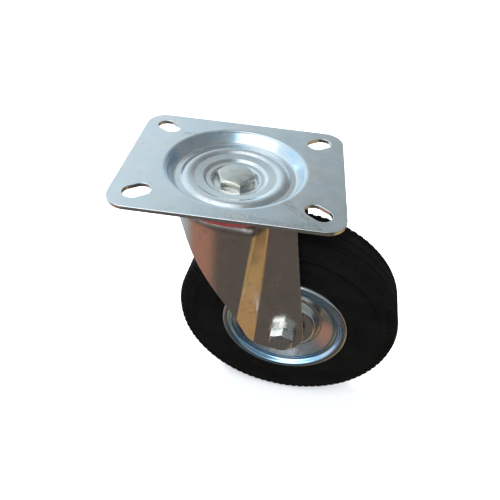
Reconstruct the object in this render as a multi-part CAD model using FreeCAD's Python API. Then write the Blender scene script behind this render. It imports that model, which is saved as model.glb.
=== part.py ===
import FreeCAD, Part
import math
import os

from FreeCAD import Vector

# Swivel plate castor of the 125 mm series, in millimetres, +Z up.
# The origin is the centre of the plate's top face, on the swivel axis.
# The fork and the wheel are modelled trailing along +X, with the axle along Y, and
# then turned to the rest direction about the swivel axis. The near side is -Y.

# Wheel: a rubber tyre held between two pressed rim discs on a hub tube
WHEEL_DIAMETER = 127.5
TYRE_HALF_WIDTH = 16.5
TREAD_HALF_WIDTH = 12.5
TREAD_ROUND = 6.0
SHOULDER_DROP = 6.5
SIDEWALL_DROP = 17.0
SHOULDER_ROUND = 9.0
SIDEWALL_ROUND = 10.0
TYRE_NECK_TUCK = 1.0
TYRE_NECK_ROUND = 0.8
SHOULDER_TUCK = 0.6
TYRE_SEAT_RADIUS = 27.0
RIM_SHEET = 1.4
BEAD_RADIUS = 36.5
BEAD_WIDTH = 3.6
BEAD_ROUND = 1.7
BEAD_LIP = 3.0
BEAD_PROUD = 0.5
GUTTER_RADIUS = 31.3
GUTTER_DEPTH = 2.8
GUTTER_ROUND = 1.6
DISH_EDGE_RADIUS = 28.8
DISH_EDGE_DEPTH = 2.1
DISH_EDGE_ROUND = 1.5
DISH_FOOT_RADIUS = 20.6
DISH_FOOT_DEPTH = 6.2
DISH_FOOT_ROUND = 1.6
HUB_DOME_RADIUS = 17.6
HUB_DOME_DEPTH = 2.0
HUB_DOME_ROUND = 2.4
HUB_TUBE_RADIUS = 12.5
HUB_BORE_RADIUS = 10.5

# Axle: a bolt through a fixed bush, with rollers running between bush and hub
BUSH_RADIUS = 7.5
ROLLER_CLEARANCE = 0.05
ROLLER_END_GAP = 3.7
CAGE_WALL = 1.7
CAGE_BAR = 2.4
CAGE_END_RING = 1.5
CAGE_POCKET_CLEARANCE = 0.12
THRUST_WASHER_THICKNESS = 1.5
THRUST_WASHER_RADIUS = 12.0
WHEEL_END_GAP = 0.3

# Kingpin: an M10 hexagon bolt with its nut and washers
KINGPIN_DIAMETER = 10.0
KINGPIN_ACROSS_FLATS = 17.0
KINGPIN_HEAD_HEIGHT = 6.0
KINGPIN_NUT_HEIGHT = 8.0
KINGPIN_THREAD_PROUD = 2.0
KINGPIN_TURN_DEG = -10.0
WASHER_DIAMETER = 19.8
WASHER_THICKNESS = 1.8
SPRING_WASHER_DIAMETER = 18.0
SPRING_WASHER_THICKNESS = 2.2
SPRING_WASHER_SLIT = 1.4
SPRING_WASHER_SLIT_DEG = 25.0

# Axle bolt: M8, its head on the near side and a lock nut on the far side
AXLE_DIAMETER = 8.0
AXLE_ACROSS_FLATS = 13.0
AXLE_HEAD_HEIGHT = 5.3
AXLE_HEX_TURN_DEG = 30.0
AXLE_WASHER_DIAMETER = 16.0
AXLE_WASHER_THICKNESS = 2.0
AXLE_THREAD_PROUD = 1.2
LOCK_NUT_HEIGHT = 8.0
LOCK_NUT_COLLAR = 2.6
LOCK_NUT_COLLAR_ROUND = 1.3
LOCK_RING_WALL = 1.2
LOCK_RING_LIP = 0.5
LOCK_RING_LIP_WIDTH = 0.5

# Common to both bolts
BOLT_HOLE_CLEARANCE = 0.1
BOLT_END_CHAMFER = 0.9
HEX_FACE_SHARE = 0.9
HEX_CHAMFER_DEG = 30.0
HEX_CUTTER_MARGIN = 1.0

# Top plate: a pressing with a raised ball race and a sunk seat for the kingpin head
PLATE_LENGTH = 105.0
PLATE_WIDTH = 85.0
PLATE_SHEET = 2.0
PLATE_CORNER_RADIUS = 10.0
SLOT_PITCH_X = 80.0
SLOT_PITCH_Y = 60.0
SLOT_WIDTH = 9.0
SLOT_LENGTH = 13.0
POCKET_DEPTH = 10.4
POCKET_CLEARANCE = 1.2
POCKET_WALL_RUN = 0.8
POCKET_EDGE_ROUND = 1.3
POCKET_FOOT_ROUND = 1.0
STEP_LEDGE = 2.8
STEP_DEPTH = 7.4
STEP_RUN = 1.2
STEP_EDGE_ROUND = 1.5
STEP_FOOT_ROUND = 1.0
INNER_FALL = 0.5
SWAGE_DEPTH = 5.8
SWAGE_TROUGH = 3.3
SWAGE_WALL_RUN = 3.2
SWAGE_LIP_ROUND = 3.0
SWAGE_FOOT_ROUND = 1.6

# Swivel bearing: two rows of loose balls, above and below the crown of the fork
UPPER_BALL_DIAMETER = 6.35
LOWER_BALL_DIAMETER = 4.76
BALL_CLEARANCE = 0.05
BALL_SPACING = 0.3
RACE_FLANK_DEG = 23.0
RACE_LAND = 0.2
RACE_FOOT_ROUND = 0.5
UPPER_RACE_RISE = 1.0
CROWN_RACE_DEPTH = 0.7
LOWER_RACE_RISE = 0.9
CUP_SHEET = 2.0
CUP_RACE_DEPTH = 1.2
CUP_NECK_LAND = 0.5
CUP_WALL_RUN = 1.6
CUP_WALL_ROUND = 1.2
CUP_LIP_WIDTH = 1.4
CUP_LIP_HEIGHT = 1.0

# Fork: one pressing, round at the crown and stepped in behind to flat axle panels
TRAIL = 36.6
REST_SWIVEL_DEG = -5.3
FORK_SHEET = 2.5
TYRE_HEADROOM = 13.7
WHEEL_SIDE_GAP = 1.0
CROWN_HOLE_GAP = 0.75
CROWN_RIM_WIDTH = 3.6
CROWN_SHOULDER = 3.4
CROWN_BAND = 4.2
LEG_HALF_WIDTH_LOW = 24.0
RAMP_START_HIGH = 16.5
RAMP_END_HIGH = 21.5
RAMP_START_LOW = 7.5
RAMP_END_LOW = 20.5
RAMP_BEND_RADIUS = 3.4
SKIRT_DEPTH = 5.5
SKIRT_ROUND = 4.0
LEG_FRONT_TOP = -24.0
LEG_FRONT_BEND = -15.5
LEG_FRONT_BEND_DROP = 26.5
LEG_FRONT_LOW_REACH = 27.6
LEG_FRONT_LOW_RISE = 13.5
LEG_FRONT_ROUND = 50.0
LEG_BACK_TOP = 34.0
LEG_END_FRONT = 17.2
LEG_END_BACK = 14.9
LEG_END_DROP = 15.7
LEG_END_ROUND = 14.5

# Dust seal between the plate and the crown
SEAL_LAND = 0.4
SEAL_OVERHANG = 1.6
SEAL_GAP = 0.4
SEAL_ROUND = 1.2

# What follows from the sizes above: the swivel bearing, from the kingpin outwards
flank = math.radians(RACE_FLANK_DEG)
kingpin_hole = KINGPIN_DIAMETER / 2 + BOLT_HOLE_CLEARANCE
axle_hole = AXLE_DIAMETER / 2 + BOLT_HOLE_CLEARANCE
upper_groove = UPPER_BALL_DIAMETER / 2 + BALL_CLEARANCE
lower_groove = LOWER_BALL_DIAMETER / 2 + BALL_CLEARANCE
upper_ball_z = UPPER_RACE_RISE - SWAGE_DEPTH - PLATE_SHEET - upper_groove
crown_z = upper_ball_z - upper_groove + CROWN_RACE_DEPTH
lower_ball_z = crown_z + LOWER_RACE_RISE - FORK_SHEET - lower_groove
cup_floor_z = lower_ball_z - lower_groove + CUP_RACE_DEPTH


def race_reach(radius, rise):
    """Half width of a race: its bend of this radius rises this far above its flanks' feet."""
    return (radius / math.cos(flank) - radius + rise) / math.tan(flank)


pocket_radius = KINGPIN_ACROSS_FLATS / math.sqrt(3) + POCKET_CLEARANCE
crown_hole = pocket_radius + POCKET_WALL_RUN + PLATE_SHEET + CROWN_HOLE_GAP
lower_reach = race_reach(lower_groove + FORK_SHEET, LOWER_RACE_RISE)
crown_reach = race_reach(upper_groove, CROWN_RACE_DEPTH)
plate_reach = race_reach(upper_groove + PLATE_SHEET, UPPER_RACE_RISE)
cup_reach = race_reach(lower_groove, CUP_RACE_DEPTH)
lower_pitch = crown_hole + lower_reach + RACE_LAND
upper_pitch = lower_pitch + lower_reach + crown_reach + RACE_LAND
race_edge = upper_pitch + upper_groove + RACE_LAND
crown_radius = race_edge + CROWN_RIM_WIDTH
swage_foot = upper_pitch + plate_reach + SWAGE_TROUGH
swage_radius = swage_foot + SWAGE_WALL_RUN
cup_seat = lower_pitch - cup_reach - CUP_NECK_LAND - CUP_WALL_RUN

# Levels of the kingpin's stack
cup_seat_z = -POCKET_DEPTH - PLATE_SHEET
washer_z = cup_seat_z - CUP_SHEET
spring_washer_z = washer_z - WASHER_THICKNESS
kingpin_nut_z = spring_washer_z - SPRING_WASHER_THICKNESS
kingpin_end_z = kingpin_nut_z - KINGPIN_NUT_HEIGHT - KINGPIN_THREAD_PROUD

# The wheel, its bearing and the fork round it
axle_z = crown_z - FORK_SHEET - TYRE_HEADROOM - WHEEL_DIAMETER / 2
bead_offset = TYRE_HALF_WIDTH + BEAD_PROUD
leg_inner = bead_offset + WHEEL_SIDE_GAP
leg_outer = leg_inner + FORK_SHEET
axle_stack = leg_outer + AXLE_WASHER_THICKNESS
hub_half = leg_inner - THRUST_WASHER_THICKNESS - WHEEL_END_GAP
roller_radius = (HUB_BORE_RADIUS - BUSH_RADIUS) / 2 - ROLLER_CLEARANCE
roller_pitch = (HUB_BORE_RADIUS + BUSH_RADIUS) / 2
roller_length = 2 * (hub_half - ROLLER_END_GAP)
roller_count = int(2 * math.pi * roller_pitch / (2 * roller_radius + CAGE_BAR))


# ---- outlines ----

def rounded_edges(corners, place, closed):
    """Lines through the (x, y, radius) corners, with each corner rounded by an arc."""
    points = [Vector(x, y, 0) for x, y, _ in corners]
    bends = []
    for i, (_, _, radius) in enumerate(corners):
        free_end = not closed and i in (0, len(corners) - 1)
        if radius <= 0 or free_end:
            bends.append((points[i], None, points[i]))
            continue
        back = (points[i - 1] - points[i]).normalize()
        ahead = (points[(i + 1) % len(points)] - points[i]).normalize()
        half_angle = back.getAngle(ahead) / 2
        reach = radius / math.tan(half_angle)
        inward = (back + ahead).normalize()
        middle = points[i] + inward * (radius / math.sin(half_angle) - radius)
        bends.append((points[i] + back * reach, middle, points[i] + ahead * reach))
    edges = []
    lines = len(bends) if closed else len(bends) - 1
    for i, (start, middle, end) in enumerate(bends):
        if middle is not None:
            edges.append(Part.Arc(place(start), place(middle), place(end)).toShape())
        following = bends[(i + 1) % len(bends)][0]
        if i < lines and end.distanceToPoint(following) > 1e-6:
            edges.append(Part.makeLine(place(end), place(following)))
    return edges


def offset_corners(corners, distance):
    """The same open line moved to its left by a distance, its bends kept concentric."""
    points = [Vector(x, y, 0) for x, y, _ in corners]
    runs = [(b - a).normalize() for a, b in zip(points, points[1:])]
    moved = []
    for i, (_, _, radius) in enumerate(corners):
        before = runs[max(i - 1, 0)]
        after = runs[min(i, len(runs) - 1)]
        left_before = Vector(-before.y, before.x, 0)
        left_after = Vector(-after.y, after.x, 0)
        mitre = (left_before + left_after) * (1 / (1 + left_before.dot(left_after)))
        spot = points[i] + mitre * distance
        turn = math.copysign(1, before.cross(after).z)
        moved.append((spot.x, spot.y, max(radius - turn * distance, 0) if radius > 0 else 0))
    return moved


def closed_face(corners, place):
    return Part.Face(Part.Wire(rounded_edges(corners, place, True)))


def sheet_face(corners, thickness, place):
    """A section of sheet metal that lies to the left of the given line."""
    moved = offset_corners(corners, thickness)
    near = rounded_edges(corners, place, False)
    far = rounded_edges(moved, place, False)
    ends = []
    for i in (0, -1):
        here = Vector(corners[i][0], corners[i][1], 0)
        there = Vector(moved[i][0], moved[i][1], 0)
        ends.append(Part.makeLine(place(here), place(there)))
    return Part.Face(Part.Wire(Part.__sortEdges__(near + far + ends)))


def on_plan(level):
    return lambda p: Vector(p.x, p.y, level)


def on_section(p):
    """Radius and level, on the half plane that turns about the Z axis."""
    return Vector(p.x, 0, p.y)


def turned(corners):
    """A solid turned about the Z axis from a closed outline of (radius, level, round)."""
    return closed_face(corners, on_section).revolve(Vector(0, 0, 0), Vector(0, 0, 1), 360)


def turned_sheet(corners, thickness):
    section = sheet_face(corners, thickness, on_section)
    return section.revolve(Vector(0, 0, 0), Vector(0, 0, 1), 360)


def tube(outer, inner, length, base_z):
    base = Vector(0, 0, base_z)
    return Part.makeCylinder(outer, length, base).cut(Part.makeCylinder(inner, length, base))


def spun(shape, degrees):
    return shape.rotated(Vector(0, 0, 0), Vector(0, 0, 1), degrees)


def ring_of(shape, count, radius):
    """Copies of a shape, evenly spaced on a circle about the Z axis."""
    first = shape.translated(Vector(radius, 0, 0))
    return [spun(first, 360.0 * i / count) for i in range(count)]


def hexagon(across_flats, height, chamfer_low):
    """A hexagonal prism on Z = 0 with its top corners chamfered, and the low ones if asked."""
    corner = across_flats / math.sqrt(3)
    face_radius = HEX_FACE_SHARE * across_flats / 2
    angles = [math.radians(60 * i) for i in range(6)]
    corners = [(corner * math.cos(a), corner * math.sin(a), 0) for a in angles]
    prism = closed_face(corners, on_plan(0)).extrude(Vector(0, 0, height))
    beyond = corner + HEX_CUTTER_MARGIN
    drop = (beyond - face_radius) * math.tan(math.radians(HEX_CHAMFER_DEG))
    outline = [(0, 0, 0), (face_radius, 0, 0), (beyond, drop, 0)]
    if not chamfer_low:
        outline = [(0, 0, 0), (beyond, 0, 0)]
    outline += [(beyond, height - drop, 0), (face_radius, height, 0), (0, height, 0)]
    return prism.common(turned(outline))


def bolt(diameter, across_flats, head_height, shank_length):
    """A hexagon-headed bolt, its head above Z = 0 and its shank hanging below."""
    radius = diameter / 2
    tip = radius - BOLT_END_CHAMFER
    outline = [(0, 0, 0), (0, -shank_length, 0), (tip, -shank_length, 0)]
    outline += [(radius, BOLT_END_CHAMFER - shank_length, 0), (radius, 0, 0)]
    return hexagon(across_flats, head_height, False).fuse(turned(outline)).removeSplitter()


def race(pitch, ball_z, radius, foot_z, foot_round, above):
    """Corners of a surface bent concentric with the balls, from outside to inside.

    The bend passes over the balls when above is +1 and under them when it is -1.
    """
    peak_z = ball_z + above * radius / math.cos(flank)
    reach = abs(peak_z - foot_z) / math.tan(flank)
    outer_foot = (pitch + reach, foot_z, foot_round)
    inner_foot = (pitch - reach, foot_z, foot_round)
    return [outer_foot, (pitch, peak_z, radius), inner_foot]


# ---- top plate and what is clamped to it ----

def slot(x, y):
    """Cutter for a round-ended slot that points at the swivel axis."""
    half_length = SLOT_LENGTH / 2
    r = SLOT_WIDTH / 2
    corners = [(-half_length, -r, r), (half_length, -r, r), (half_length, r, r), (-half_length, r, r)]
    cutter = closed_face(corners, on_plan(-2 * PLATE_SHEET)).extrude(Vector(0, 0, 3 * PLATE_SHEET))
    return spun(cutter, math.degrees(math.atan2(y, x))).translated(Vector(x, y, 0))


def top_plate():
    half_x = PLATE_LENGTH / 2
    half_y = PLATE_WIDTH / 2
    r = PLATE_CORNER_RADIUS
    outline = [(-half_x, -half_y, r), (half_x, -half_y, r), (half_x, half_y, r), (-half_x, half_y, r)]
    plate = closed_face(outline, on_plan(-PLATE_SHEET)).extrude(Vector(0, 0, PLATE_SHEET))
    edge = swage_radius + PLATE_SHEET
    plate = plate.cut(Part.makeCylinder(edge, 2 * PLATE_SHEET, Vector(0, 0, -1.5 * PLATE_SHEET)))
    pocket_edge = pocket_radius + POCKET_WALL_RUN
    step_foot = pocket_edge + STEP_LEDGE
    over_balls = upper_groove + PLATE_SHEET
    path = [(edge, 0, 0), (swage_radius, 0, SWAGE_LIP_ROUND)]
    path += [(swage_foot, -SWAGE_DEPTH, SWAGE_FOOT_ROUND)]
    path += race(upper_pitch, upper_ball_z, over_balls, -SWAGE_DEPTH, SWAGE_FOOT_ROUND, 1)
    path += [(step_foot + STEP_RUN, -SWAGE_DEPTH - INNER_FALL, STEP_EDGE_ROUND)]
    path += [(step_foot, -STEP_DEPTH, STEP_FOOT_ROUND)]
    path += [(pocket_edge, -STEP_DEPTH - INNER_FALL / 2, POCKET_EDGE_ROUND)]
    path += [(pocket_radius, -POCKET_DEPTH, POCKET_FOOT_ROUND)]
    path += [(kingpin_hole, -POCKET_DEPTH, 0)]
    plate = plate.fuse(turned_sheet(path, PLATE_SHEET))
    for x in (-SLOT_PITCH_X / 2, SLOT_PITCH_X / 2):
        for y in (-SLOT_PITCH_Y / 2, SLOT_PITCH_Y / 2):
            plate = plate.cut(slot(x, y))
    return plate.removeSplitter()


def kingpin_bolt():
    length = -POCKET_DEPTH - kingpin_end_z
    pin = bolt(KINGPIN_DIAMETER, KINGPIN_ACROSS_FLATS, KINGPIN_HEAD_HEIGHT, length)
    return spun(pin, KINGPIN_TURN_DEG).translated(Vector(0, 0, -POCKET_DEPTH))


def lower_race_cup():
    """The pressed cup under the lower balls, clamped up against the plate's pocket."""
    path = [(kingpin_hole, cup_seat_z, 0), (cup_seat, cup_seat_z, CUP_WALL_ROUND)]
    path += [(cup_seat + CUP_WALL_RUN, cup_floor_z, RACE_FOOT_ROUND)]
    path += reversed(race(lower_pitch, lower_ball_z, lower_groove, cup_floor_z, RACE_FOOT_ROUND, -1))
    lip = lower_pitch + cup_reach + CUP_LIP_WIDTH
    path += [(lip - CUP_LIP_HEIGHT, cup_floor_z, RACE_FOOT_ROUND), (lip, cup_floor_z + CUP_LIP_HEIGHT, 0)]
    return turned_sheet(path, -CUP_SHEET)


def kingpin_washer():
    return tube(WASHER_DIAMETER / 2, kingpin_hole, WASHER_THICKNESS, washer_z - WASHER_THICKNESS)


def kingpin_spring_washer():
    """A split ring, its ends cut at a slant."""
    thickness = SPRING_WASHER_THICKNESS
    ring = tube(SPRING_WASHER_DIAMETER / 2, kingpin_hole, thickness, -thickness / 2)
    corner = Vector(0, -SPRING_WASHER_SLIT / 2, -2 * thickness)
    slit = Part.makeBox(SPRING_WASHER_DIAMETER, SPRING_WASHER_SLIT, 4 * thickness, corner)
    slit = slit.rotated(Vector(0, 0, 0), Vector(1, 0, 0), SPRING_WASHER_SLIT_DEG)
    return ring.cut(slit).translated(Vector(0, 0, spring_washer_z - thickness / 2))


def kingpin_nut():
    nut = hexagon(KINGPIN_ACROSS_FLATS, KINGPIN_NUT_HEIGHT, True)
    nut = nut.cut(Part.makeCylinder(KINGPIN_DIAMETER / 2, KINGPIN_NUT_HEIGHT))
    return nut.translated(Vector(0, 0, kingpin_nut_z - KINGPIN_NUT_HEIGHT))


# ---- loose balls ----

def race_balls(diameter, pitch, level):
    """As many balls as fit round the race with their spacing."""
    count = int(math.pi / math.asin((diameter + BALL_SPACING) / (2 * pitch)))
    ball = Part.makeSphere(diameter / 2).translated(Vector(0, 0, level))
    return Part.makeCompound(ring_of(ball, count, pitch))


def upper_race_balls():
    return race_balls(UPPER_BALL_DIAMETER, upper_pitch, upper_ball_z)


def lower_race_balls():
    return race_balls(LOWER_BALL_DIAMETER, lower_pitch, lower_ball_z)


# ---- fork and what is fixed to it ----

def at_rest(shape):
    """Turns a piece of the fork or wheel to its rest direction."""
    return spun(shape, REST_SWIVEL_DEG)


def fork_plan(round_radius, ramp_start, ramp_end, inset):
    """Plan outline: round in front, then stepped in to the axle panels, and long behind."""
    behind = 2 * (TRAIL + LEG_END_BACK)
    near = [(-round_radius, 0, 0), (-round_radius, -round_radius, round_radius)]
    near += [(ramp_start, -round_radius, RAMP_BEND_RADIUS), (ramp_end, -leg_outer, RAMP_BEND_RADIUS)]
    near += [(behind, -leg_outer, 0)]
    near = offset_corners(near, inset)
    far = [(x, -y, r) for x, y, r in reversed(near[1:])]
    return near + far


def fork_bulk(inset):
    """The fork's outer form as a solid, or with an inset the hollow inside its sheet."""
    top = crown_z - inset
    band = crown_z - CROWN_BAND
    low = axle_z - 2 * LEG_END_DROP
    high_plan = fork_plan(crown_radius, RAMP_START_HIGH, RAMP_END_HIGH, inset)
    low_plan = fork_plan(LEG_HALF_WIDTH_LOW, RAMP_START_LOW, RAMP_END_LOW, inset)
    crown = closed_face(high_plan, on_plan(band)).extrude(Vector(0, 0, top - band))
    rim = [e for e in crown.Edges if e.BoundBox.ZMin > top - 0.01 and e.BoundBox.XMin < TRAIL]
    crown = crown.makeFillet(CROWN_SHOULDER - inset, rim)
    high_wire = Part.Wire(rounded_edges(high_plan, on_plan(band), True))
    low_wire = Part.Wire(rounded_edges(low_plan, on_plan(low), True))
    return crown.fuse(Part.makeLoft([high_wire, low_wire], True, True))


def leg_outline():
    """Side view of the fork: what the skirt and the two legs keep of the outer form."""
    clear = 2 * crown_radius
    bottom = axle_z - LEG_END_DROP
    skirt = crown_z - SKIRT_DEPTH
    above = crown_z + FORK_SHEET
    corners = [(-clear, above, 0), (-clear, skirt, 0), (LEG_FRONT_TOP, skirt, SKIRT_ROUND)]
    corners += [(LEG_FRONT_BEND, crown_z - LEG_FRONT_BEND_DROP, LEG_FRONT_ROUND)]
    corners += [(TRAIL - LEG_FRONT_LOW_REACH, axle_z + LEG_FRONT_LOW_RISE, LEG_FRONT_ROUND)]
    corners += [(TRAIL - LEG_END_FRONT, bottom, LEG_END_ROUND)]
    corners += [(TRAIL + LEG_END_BACK, bottom, LEG_END_ROUND)]
    corners += [(LEG_BACK_TOP, crown_z, 0), (LEG_BACK_TOP, above, 0)]
    face = closed_face(corners, lambda p: Vector(p.x, -clear, p.y))
    return face.extrude(Vector(0, 2 * clear, 0))


def crown_races():
    """The middle of the crown, pressed down under the upper balls and up over the lower."""
    path = [(race_edge, crown_z, 0)]
    path += race(upper_pitch, upper_ball_z, upper_groove, crown_z, RACE_FOOT_ROUND, -1)
    path += race(lower_pitch, lower_ball_z, lower_groove + FORK_SHEET, crown_z, RACE_FOOT_ROUND, 1)
    path += [(crown_hole, crown_z, 0)]
    return turned_sheet(path, FORK_SHEET)


def fork():
    shell = fork_bulk(0).cut(fork_bulk(FORK_SHEET)).common(leg_outline())
    shell = shell.cut(Part.makeCylinder(race_edge, 4 * FORK_SHEET, Vector(0, 0, crown_z - 2 * FORK_SHEET)))
    shell = shell.fuse(crown_races())
    side = Vector(TRAIL, -2 * leg_outer, axle_z)
    drill = Part.makeCylinder(axle_hole, 4 * leg_outer, side, Vector(0, 1, 0))
    return at_rest(shell.cut(drill).removeSplitter())


def dust_seal_ring():
    top = -SWAGE_DEPTH - PLATE_SHEET - SEAL_GAP
    inner = race_edge + SEAL_LAND
    outer = crown_radius + SEAL_OVERHANG
    outline = [(inner, crown_z, 0), (outer, crown_z, 0), (outer, top, SEAL_ROUND), (inner, top, 0)]
    return at_rest(turned(outline))


def along_axle(shape, offset, outward):
    """Lays a piece modelled along Z on the axle, with its Z = 0 at an offset from the middle.

    Its top points to the far side when outward is +1, and to the near side when it is -1.
    """
    laid = shape.rotated(Vector(0, 0, 0), Vector(1, 0, 0), -90 * outward)
    return at_rest(laid.translated(Vector(TRAIL, offset, axle_z)))


def axle_bolt():
    length = 2 * axle_stack + LOCK_NUT_HEIGHT + AXLE_THREAD_PROUD
    pin = bolt(AXLE_DIAMETER, AXLE_ACROSS_FLATS, AXLE_HEAD_HEIGHT, length)
    return along_axle(spun(pin, AXLE_HEX_TURN_DEG), -axle_stack, -1)


def axle_washers():
    """A washer on the outer side of each leg."""
    washer = tube(AXLE_WASHER_DIAMETER / 2, axle_hole, AXLE_WASHER_THICKNESS, leg_outer)
    return Part.makeCompound([along_axle(washer, 0, -1), along_axle(washer, 0, 1)])


def lock_ring(inner):
    outer = AXLE_DIAMETER / 2 + LOCK_RING_WALL
    return tube(outer, inner, LOCK_NUT_COLLAR - LOCK_RING_LIP, LOCK_NUT_HEIGHT - LOCK_NUT_COLLAR)


def axle_nut():
    """A lock nut: a hexagon with a round collar that is rolled in over a plastic ring."""
    radius = AXLE_DIAMETER / 2
    collar_radius = HEX_FACE_SHARE * AXLE_ACROSS_FLATS / 2
    window_radius = radius + LOCK_RING_WALL - LOCK_RING_LIP_WIDTH
    nut = hexagon(AXLE_ACROSS_FLATS, LOCK_NUT_HEIGHT - LOCK_NUT_COLLAR, True)
    collar = [(0, 0, 0), (collar_radius, 0, 0)]
    collar += [(collar_radius, LOCK_NUT_HEIGHT, LOCK_NUT_COLLAR_ROUND), (0, LOCK_NUT_HEIGHT, 0)]
    nut = nut.fuse(turned(collar)).cut(Part.makeCylinder(radius, LOCK_NUT_HEIGHT))
    lip = Vector(0, 0, LOCK_NUT_HEIGHT - LOCK_RING_LIP)
    window = Part.makeCylinder(window_radius, LOCK_RING_LIP, lip)
    nut = nut.cut(lock_ring(radius / 2)).cut(window).removeSplitter()
    return along_axle(spun(nut, AXLE_HEX_TURN_DEG), axle_stack, 1)


def axle_nut_insert():
    return along_axle(lock_ring(AXLE_DIAMETER / 2), axle_stack, 1)


def axle_bush():
    return along_axle(tube(BUSH_RADIUS, axle_hole, 2 * leg_inner, -leg_inner), 0, 1)


def thrust_washers():
    """Two washers that fill the space between each leg and the hub."""
    bore = BUSH_RADIUS + BOLT_HOLE_CLEARANCE
    washer = tube(THRUST_WASHER_RADIUS, bore, THRUST_WASHER_THICKNESS, leg_inner - THRUST_WASHER_THICKNESS)
    return Part.makeCompound([along_axle(washer, 0, -1), along_axle(washer, 0, 1)])


# ---- wheel ----

def disc_line():
    """Outer surface of a rim disc, from the hub out to the lip rolled over the tyre."""
    inner_bead = BEAD_RADIUS - BEAD_WIDTH
    line = [(HUB_TUBE_RADIUS, bead_offset - HUB_DOME_DEPTH, 0)]
    line += [(HUB_DOME_RADIUS, bead_offset - HUB_DOME_DEPTH, HUB_DOME_ROUND)]
    line += [(DISH_FOOT_RADIUS, bead_offset - DISH_FOOT_DEPTH, DISH_FOOT_ROUND)]
    line += [(DISH_EDGE_RADIUS, bead_offset - DISH_EDGE_DEPTH, DISH_EDGE_ROUND)]
    line += [(GUTTER_RADIUS, bead_offset - GUTTER_DEPTH, GUTTER_ROUND)]
    line += [(inner_bead, bead_offset, BEAD_ROUND), (BEAD_RADIUS, bead_offset, BEAD_ROUND)]
    line += [(BEAD_RADIUS, bead_offset - BEAD_LIP, 0)]
    return line


def rim_disc():
    return turned_sheet(disc_line(), -RIM_SHEET)


def rim_disc_near():
    return along_axle(rim_disc(), 0, -1)


def rim_disc_far():
    return along_axle(rim_disc(), 0, 1)


def tyre():
    """Solid rubber, from its foot between the discs out to the tread."""
    middle_of_sheet = offset_corners(disc_line(), -RIM_SHEET / 2)
    foot, edge = middle_of_sheet[2], middle_of_sheet[3]
    share = (TYRE_SEAT_RADIUS - foot[0]) / (edge[0] - foot[0])
    outer = WHEEL_DIAMETER / 2
    side = TYRE_HALF_WIDTH
    outline = [(TYRE_SEAT_RADIUS, 0, 0), (TYRE_SEAT_RADIUS, foot[1] + share * (edge[1] - foot[1]), 0)]
    outline += middle_of_sheet[3:]
    outline += [(BEAD_RADIUS + BEAD_PROUD, side - TYRE_NECK_TUCK, TYRE_NECK_ROUND)]
    outline += [(outer - SIDEWALL_DROP, side, SIDEWALL_ROUND)]
    outline += [(outer - SHOULDER_DROP, side - SHOULDER_TUCK, SHOULDER_ROUND)]
    outline += [(outer, TREAD_HALF_WIDTH, TREAD_ROUND), (outer, 0, 0)]
    half = turned(outline).cut(rim_disc())
    whole = half.fuse(half.mirror(Vector(0, 0, 0), Vector(0, 0, 1)))
    return along_axle(whole.removeSplitter(), 0, 1)


def hub_tube():
    return along_axle(tube(HUB_TUBE_RADIUS, HUB_BORE_RADIUS, 2 * hub_half, -hub_half), 0, 1)


def bearing_rollers():
    roller = Part.makeCylinder(roller_radius, roller_length, Vector(0, 0, -roller_length / 2))
    rollers = ring_of(roller, roller_count, roller_pitch)
    return along_axle(Part.makeCompound(rollers), 0, 1)


def roller_cage():
    """A sleeve with a pocket for each roller."""
    half_length = roller_length / 2 + CAGE_END_RING
    outer = roller_pitch + CAGE_WALL / 2
    sleeve = tube(outer, roller_pitch - CAGE_WALL / 2, 2 * half_length, -half_length)
    pocket_length = roller_length + 2 * CAGE_POCKET_CLEARANCE
    cutter_radius = roller_radius + CAGE_POCKET_CLEARANCE
    pocket = Part.makeCylinder(cutter_radius, pocket_length, Vector(0, 0, -pocket_length / 2))
    for cutter in ring_of(pocket, roller_count, roller_pitch):
        sleeve = sleeve.cut(cutter)
    return along_axle(sleeve, 0, 1)


PIECES = [
    top_plate,
    kingpin_bolt,
    lower_race_cup,
    kingpin_washer,
    kingpin_spring_washer,
    kingpin_nut,
    upper_race_balls,
    lower_race_balls,
    fork,
    dust_seal_ring,
    axle_bolt,
    axle_washers,
    axle_nut,
    axle_nut_insert,
    axle_bush,
    thrust_washers,
    tyre,
    rim_disc_near,
    rim_disc_far,
    hub_tube,
    bearing_rollers,
    roller_cage,
]

os.makedirs("parts", exist_ok=True)
for piece in PIECES:
    piece().exportStep(f"parts/{piece.__name__}.step")
print("overall height", WHEEL_DIAMETER / 2 - axle_z)
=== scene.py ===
import math

import bmesh
import bpy
from mathutils import Matrix, Vector


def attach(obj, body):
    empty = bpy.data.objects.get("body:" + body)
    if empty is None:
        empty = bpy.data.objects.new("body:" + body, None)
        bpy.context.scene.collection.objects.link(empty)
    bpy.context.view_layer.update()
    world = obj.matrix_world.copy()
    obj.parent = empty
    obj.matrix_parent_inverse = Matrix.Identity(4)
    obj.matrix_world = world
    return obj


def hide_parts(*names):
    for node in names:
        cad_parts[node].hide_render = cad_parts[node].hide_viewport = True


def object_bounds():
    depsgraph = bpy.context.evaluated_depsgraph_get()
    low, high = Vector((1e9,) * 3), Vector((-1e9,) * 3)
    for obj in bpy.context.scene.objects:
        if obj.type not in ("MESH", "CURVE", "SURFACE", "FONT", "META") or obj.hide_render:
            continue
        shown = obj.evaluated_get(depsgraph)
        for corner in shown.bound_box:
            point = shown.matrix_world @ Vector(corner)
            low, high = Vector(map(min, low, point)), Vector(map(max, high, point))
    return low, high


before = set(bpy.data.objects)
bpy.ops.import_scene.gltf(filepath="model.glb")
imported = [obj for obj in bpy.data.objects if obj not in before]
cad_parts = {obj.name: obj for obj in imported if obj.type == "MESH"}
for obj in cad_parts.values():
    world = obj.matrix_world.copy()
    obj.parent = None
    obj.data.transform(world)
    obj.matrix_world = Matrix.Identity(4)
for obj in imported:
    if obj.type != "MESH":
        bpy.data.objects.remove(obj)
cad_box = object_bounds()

MM = 0.001


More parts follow.
